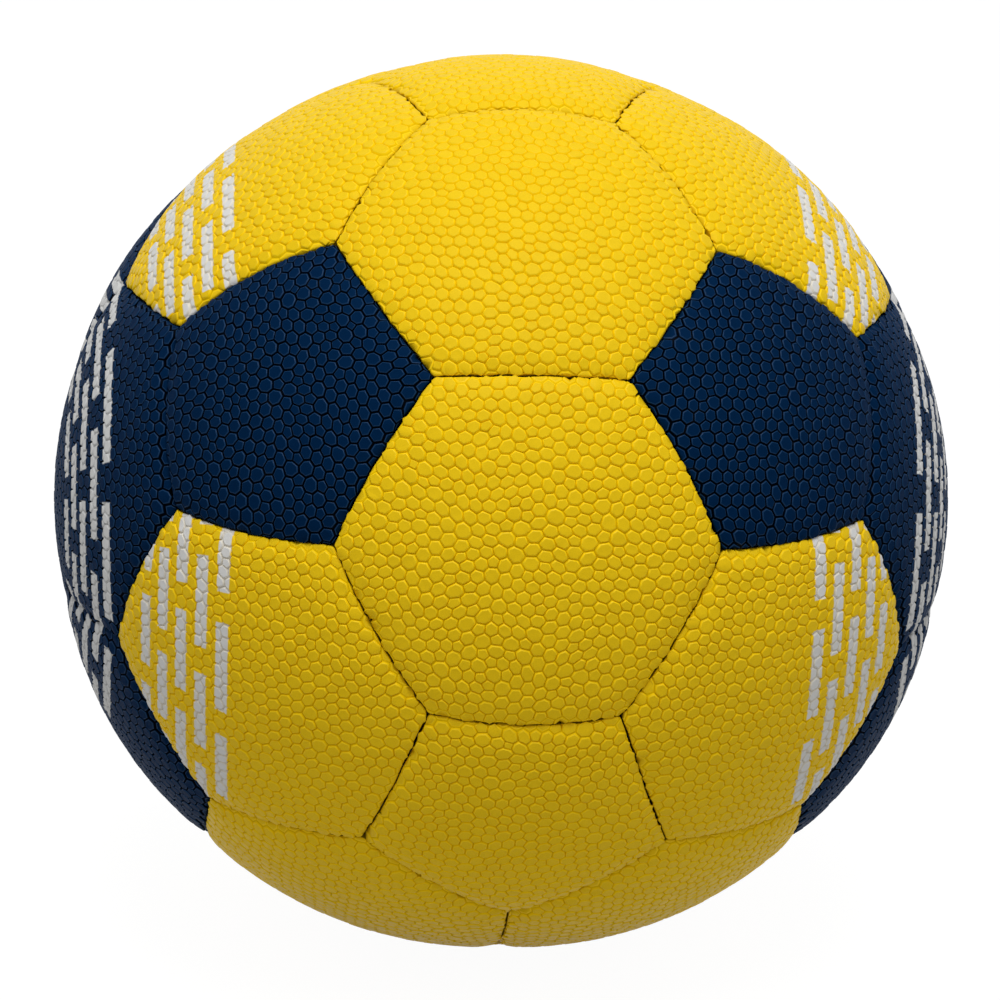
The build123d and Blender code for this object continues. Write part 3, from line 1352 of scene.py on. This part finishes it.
    def places(self, mesh: bpy.types.Mesh) -> np.ndarray:
        """A mesh's points, three numbers each."""
        found = np.empty(len(mesh.vertices) * 3, np.float32)
        mesh.vertices.foreach_get("co", found)
        return found.reshape(-1, 3).astype(float)

    def numbers(self, mesh: bpy.types.Mesh, name: str, domain: str, count: int) -> np.ndarray:
        """Numbers stored on a mesh's points or faces."""
        attribute = mesh.attributes[name]
        if attribute.domain != domain:
            raise ValueError(f"{self.node}: {name} is on {attribute.domain}, not {domain}")
        found = np.empty(count, np.float32)
        attribute.data.foreach_get("value", found)
        return found

    def store(self, mesh: bpy.types.Mesh, name: str, domain: str, numbers: np.ndarray) -> None:
        """Store numbers on a mesh's points or faces."""
        mesh.attributes.new(name, "FLOAT", domain).data.foreach_set("value", numbers.astype(np.float32))

    def dress(self, piece: bpy.types.Object) -> None:
        """Say what the piece moves with, and hide the solid that it stands for."""
        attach(piece, "root")
        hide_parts(self.node)


@dataclass
class CoverSet:
    """All the panels of the cover."""

    sizes: BallSizes
    first_chance: int = 4200

    def panels(self) -> list[CoverPanel]:
        """Match every panel of the part with its place and outline.

        Returns:
            The panels, in the order of their names.
        """
        places = [(PanelKind.HEXAGON, axis, beside) for axis, beside in self.sizes.hexagons()]
        corners = self.sizes.pentagons()
        for axis in corners:
            beside = next(other for other in corners if other is not axis and np.dot(axis, other) > 0)
            places.append((PanelKind.PENTAGON, axis, beside))
        made = []
        valve = np.array(sum(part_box("valve_housing"), Vector()))
        for number, node in enumerate(sorted(name for name in frame["nodes"] if "_panel_" in name)):
            low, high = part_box(node)
            middle = np.array((low + high) / 2)
            wanted = PanelKind.HEXAGON if "hexagon" in node else PanelKind.PENTAGON
            kind, axis, beside = max(
                (place for place in places if place[0] is wanted), key=lambda place: np.dot(middle, place[1])
            )
            across = beside - axis * np.dot(axis, beside)
            across /= np.linalg.norm(across)
            turned = np.column_stack([across, np.cross(axis, across), axis])
            cover = Cover.NAVY if node.startswith("navy") else Cover.YELLOW
            made.append(CoverPanel(node, kind, cover, turned, self.sizes, self.first_chance + number))
        max(made, key=lambda panel: np.dot(panel.turned[:, 2], valve)).pierced = True
        for panel in made:
            panel.bow([other for other in made if other is not panel])
        return made


@dataclass
class Studio:
    """A pale floor, soft light from above and a camera at the photograph's angle.

    Places and sizes of the floor, the lamp and the camera are in ball radii, and the picture's are in pixels.
    """

    radius: float
    azimuth: float = radians(-3.9)
    elevation: float = radians(16.6)
    roll: float = radians(1.9)
    distance_share: float = 9.1
    focal_pixels: float = 4058.0
    picture: float = 1000.0
    centre_x: float = 500.3
    centre_y: float = 501.9
    sensor: float = 36.0
    nearest: float = 0.01
    floor_reach: float = 40.0
    floor_colour: Colour = (0.47, 0.47, 0.47)
    floor_glow: float = 1.2
    floor_glow_share: float = 0.8
    fill: float = 0.5
    lamp_place: tuple[float, float, float] = (0.0, -3.4, 9.0)
    lamp_size: float = 6.0
    lamp_power: float = 4.9

    def floor(self) -> bpy.types.Object:
        """Lay the floor under the ball.

        Returns:
            The floor.
        """
        half = self.floor_reach * self.radius
        low = -self.radius
        corners = [(-half, -half, low), (half, -half, low), (half, half, low), (-half, half, low)]
        mesh = bpy.data.meshes.new("floor")
        mesh.from_pydata(corners, [], [(0, 1, 2, 3)])
        floor = bpy.data.objects.new("floor", mesh)
        bpy.context.scene.collection.objects.link(floor)
        shader = Shader("pale_floor")
        shader.finish(Base_Color=self.floor_colour, Roughness=1.0, Specular_IOR_Level=0.0)
        glow = shader.node("ShaderNodeEmission", {}, {"Strength": self.floor_glow})
        path = shader.node("ShaderNodeLightPath", {}, {})
        seen = Value(shader, path.outputs["Is Camera Ray"])
        for kind in ("Glossy", "Transmission"):
            seen = seen.math("MAXIMUM", Value(shader, path.outputs[f"Is {kind} Ray"]))
        share = seen * self.floor_glow_share
        sockets = {0: share, 1: shader.surface.outputs[0], 2: glow.outputs[0]}
        blend = shader.node("ShaderNodeMixShader", {}, sockets)
        output = next(n for n in shader.nodes if n.type == "OUTPUT_MATERIAL")
        shader.feed(output.inputs["Surface"], blend.outputs[0])
        mesh.materials.append(shader.material)
        return floor

    def lamp(self) -> None:
        """Hang a square soft light that faces the ball."""
        light = bpy.data.lights.new("overhead", "AREA")
        light.shape = "SQUARE"
        light.size = self.lamp_size * self.radius
        light.energy = self.lamp_power
        lamp = bpy.data.objects.new("overhead", light)
        lamp.location = Vector(self.lamp_place) * self.radius
        lamp.rotation_euler = (-lamp.location).to_track_quat("-Z", "Y").to_euler()
        bpy.context.scene.collection.objects.link(lamp)

    def light(self) -> None:
        """Light the scene: white all round to the camera, softer on the ball, with a lamp above."""
        world = bpy.data.worlds.new("studio")
        world.use_nodes = True
        bpy.context.scene.world = world
        nodes, links = world.node_tree.nodes, world.node_tree.links
        background = next(n for n in nodes if n.type == "BACKGROUND")
        background.inputs["Color"].default_value = (1.0, 1.0, 1.0, 1.0)
        path = nodes.new("ShaderNodeLightPath")
        level = nodes.new("ShaderNodeMapRange")
        level.inputs["To Min"].default_value = self.fill
        level.inputs["To Max"].default_value = 1.0
        seen = path.outputs["Is Camera Ray"]
        for kind in ("Glossy", "Transmission"):
            either = nodes.new("ShaderNodeMath")
            either.operation = "MAXIMUM"
            links.new(seen, either.inputs[0])
            links.new(path.outputs[f"Is {kind} Ray"], either.inputs[1])
            seen = either.outputs[0]
        links.new(seen, level.inputs["Value"])
        links.new(level.outputs["Result"], background.inputs["Strength"])
        self.lamp()

    def camera(self) -> None:
        """Set the camera at the photograph's angle, distance and framing."""
        back = Vector(
            (
                sin(self.azimuth) * cos(self.elevation),
                -cos(self.azimuth) * cos(self.elevation),
                sin(self.elevation),
            )
        )
        level = Vector((cos(self.azimuth), sin(self.azimuth), 0.0))
        upright = back.cross(level)
        right = level * cos(self.roll) + upright * sin(self.roll)
        above = upright * cos(self.roll) - level * sin(self.roll)
        lens = bpy.data.cameras.new("camera")
        lens.sensor_width = self.sensor
        lens.lens = self.focal_pixels / self.picture * lens.sensor_width
        lens.shift_x = (self.picture / 2 - self.centre_x) / self.picture
        lens.shift_y = (self.centre_y - self.picture / 2) / self.picture
        lens.clip_start = self.nearest
        camera = bpy.data.objects.new("camera", lens)
        turned = Matrix((right, above, back)).transposed().to_4x4()
        camera.matrix_world = Matrix.Translation(back * (self.distance_share * self.radius)) @ turned
        bpy.context.scene.collection.objects.link(camera)
        bpy.context.scene.camera = camera


def dress_inner() -> None:
    """Give the solids that stay as they are their materials."""
    finishes = {
        "pad_foam": FoamFinish((0.72, 0.69, 0.6), 0.0009),
        "lining_cloth": ClothFinish((0.62, 0.58, 0.5), 0.0011),
        "seam_thread": ThreadFinish((0.03, 0.03, 0.03), 0.0009),
        "bladder_rubber": RubberFinish((0.02, 0.02, 0.021), (0.1, 0.1, 0.1), 0.45),
        "valve_rubber": RubberFinish((0.025, 0.025, 0.027), (0.12, 0.12, 0.12), 0.4),
    }
    slots = {part["node"]: part["material_slot"] for part in frame["record"]["subparts"]}
    made = {slot: finish.material(slot) for slot, finish in finishes.items()}
    for node, slot in slots.items():
        if slot not in made:
            continue
        solid = frame["nodes"][node]
        solid.data.materials.clear()
        solid.data.materials.append(made[slot])
        LOG.info("%s: %s", node, slot)


def cover_materials() -> dict[tuple[Cover, bool], bpy.types.Material]:
    """Make the cover's materials, plain and printed.

    Returns:
        The materials, by colour and by whether they are printed.
    """
    dashes = DashPrint(
        start=radians(37.0),
        rings=5,
        ring_pitch=radians(3.3),
        ring_share=0.55,
        dashes=18,
        dash_share=0.76,
    )
    yellow = CoverFinish(
        top=(0.87, 0.578, 0.007),
        # Painted light: a brighter, more saturated yellow on the pebble walls; painted shade in the grooves.
        wall=(0.93, 0.62, 0.0006),
        groove=(0.72, 0.46, 0.0004),
        # Painted highlight on the pebbles' lips.
        lip=(0.98, 0.69, 0.006),
        lip_share=0.4,
        scuff=(0.7, 0.45, 0.02),
        roughness=0.45,
        gloss=0.1,
        sheen=(1.0, 0.85, 0.5),
        glint=0.2,
        gap_rise=(0.0, 0.5),
    )
    navy = CoverFinish(
        top=(0.0006, 0.0148, 0.053),
        # Painted shade: a darker navy on the pebble walls, and near black in the grooves.
        wall=(0.0005, 0.012, 0.043),
        groove=(0.0001, 0.0003, 0.0012),
        # Painted highlight on the pebbles' lips.
        lip=(0.006, 0.04, 0.11),
        lip_share=0.7,
        scuff=(0.03, 0.032, 0.036),
        roughness=0.5,
        gloss=0.015,
        sheen=(0.4, 0.6, 1.0),
        glint=0.16,
        gap_rise=(0.3, 1.0),
    )
    inner_dashes = replace(dashes, start=radians(15.0), dashes=9)
    return {
        (Cover.YELLOW, False): yellow.material("yellow_cover_plain"),
        (Cover.YELLOW, True): replace(yellow, design=dashes).material("yellow_cover_printed"),
        (Cover.NAVY, False): navy.material("navy_cover_plain"),
        (Cover.NAVY, True): replace(navy, design=inner_dashes).material("navy_cover_printed"),
    }


def main() -> None:
    """Build and dress every piece, then the studio."""
    logging.basicConfig(level=logging.INFO, format="%(message)s")
    sizes = BallSizes(radius=max(CAD_BOX[1].z, -CAD_BOX[0].z))
    materials = cover_materials()
    grain = PebbleGrain()
    for panel in CoverSet(sizes).panels():
        piece = panel.build(grain, materials[(panel.cover, panel.printed)])
        panel.dress(piece)
        LOG.info("%s: %d faces", piece.name, len(piece.data.polygons))
    bpy.data.node_groups.remove(grain.tree)
    dress_inner()
    studio = Studio(sizes.radius)
    studio.floor()
    studio.light()
    studio.camera()
    bpy.context.scene.view_settings.view_transform = "Standard"


if __name__ == "__main__":
    main()
